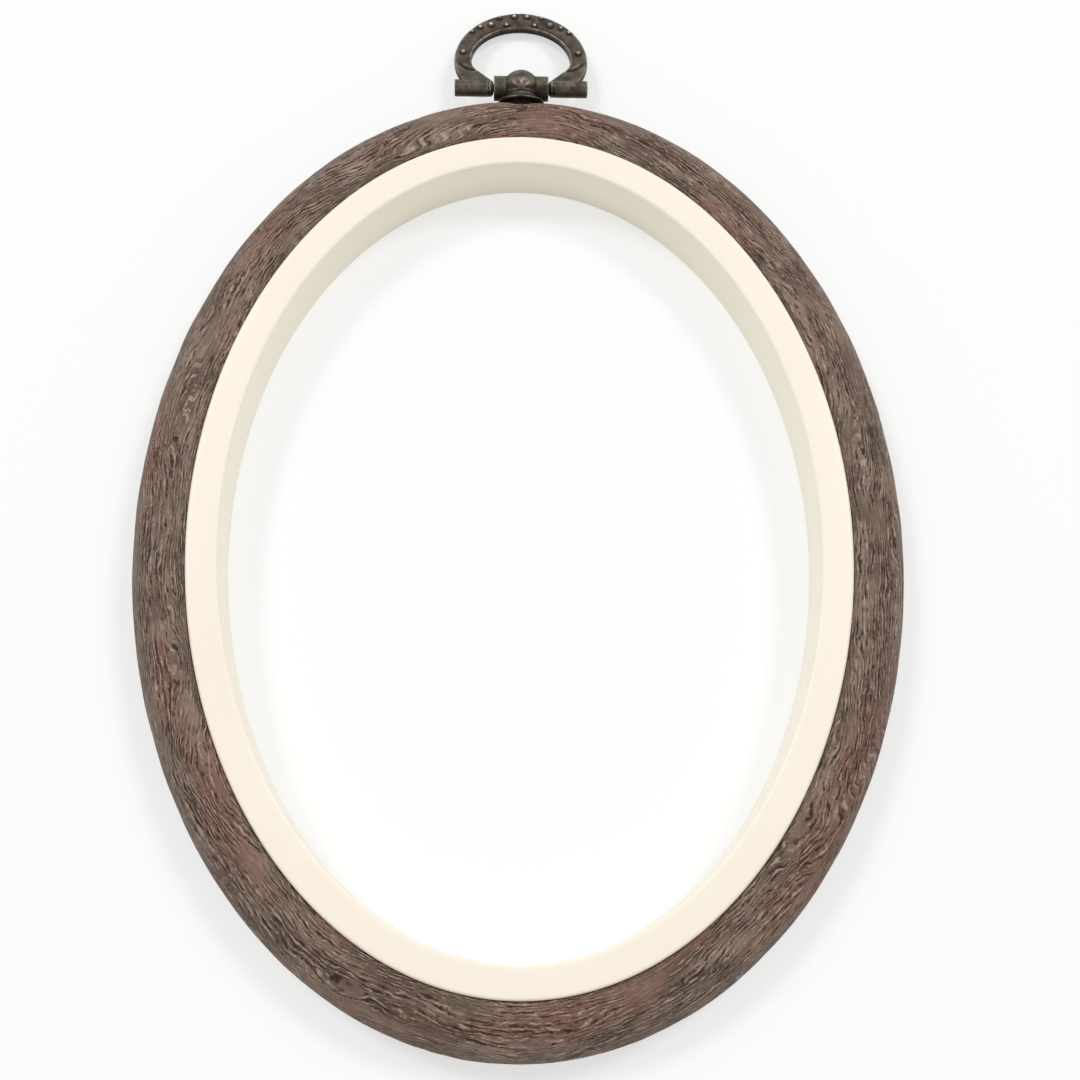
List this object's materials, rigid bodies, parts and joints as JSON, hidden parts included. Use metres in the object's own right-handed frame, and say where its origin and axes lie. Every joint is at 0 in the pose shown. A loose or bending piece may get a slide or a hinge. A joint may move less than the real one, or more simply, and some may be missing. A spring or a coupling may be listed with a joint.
{
  "type": "embroidery hoop",
  "caption": "Oval flexible embroidery hoop and frame: soft wood-grain outer ring stretched over a hard cream inner ring, with a swinging hanging loop.",
  "frame": {"origin": "middle of the hoop's footprint, loop included, on the surface that it lies on", "axes": "+Z out of the front face along the hoop's axis, +Y towards the hanging loop, +X to the right seen from the front"},
  "size_m": [0.1056, 0.1534, 0.0092],
  "materials": {
    "cream_plastic": "satin moulded plastic",
    "wood_grain_vinyl": "soft vinyl embossed with wood bark grain, semi-matte",
    "antique_bronze": "cast metal, dark antique bronze plating worn bright on raised edges",
    "dark_pin": "darkened steel wire",
    "screw_steel": "zinc plated steel"
  },
  "bodies": {
    "inner_hoop": {"inner_ring": "cream_plastic"},
    "outer_hoop": {"outer_ring": "wood_grain_vinyl", "hanger_bracket": "antique_bronze", "fixing_screw": "screw_steel"},
    "bail": {"hanger_bail": "antique_bronze", "hinge_pin": "dark_pin"}
  },
  "joints": [
    {"name": "outer_hoop_lift", "type": "slide", "parent": "inner_hoop", "child": "outer_hoop", "axis": [0, 0, 1], "range_m": [0, 0.012]},
    {"name": "bail_swing", "type": "hinge", "parent": "outer_hoop", "child": "bail", "pos_m": [0, 0.06153, 0.0046], "axis": [1, 0, 0], "range_deg": [-106, 157]}
  ]
}
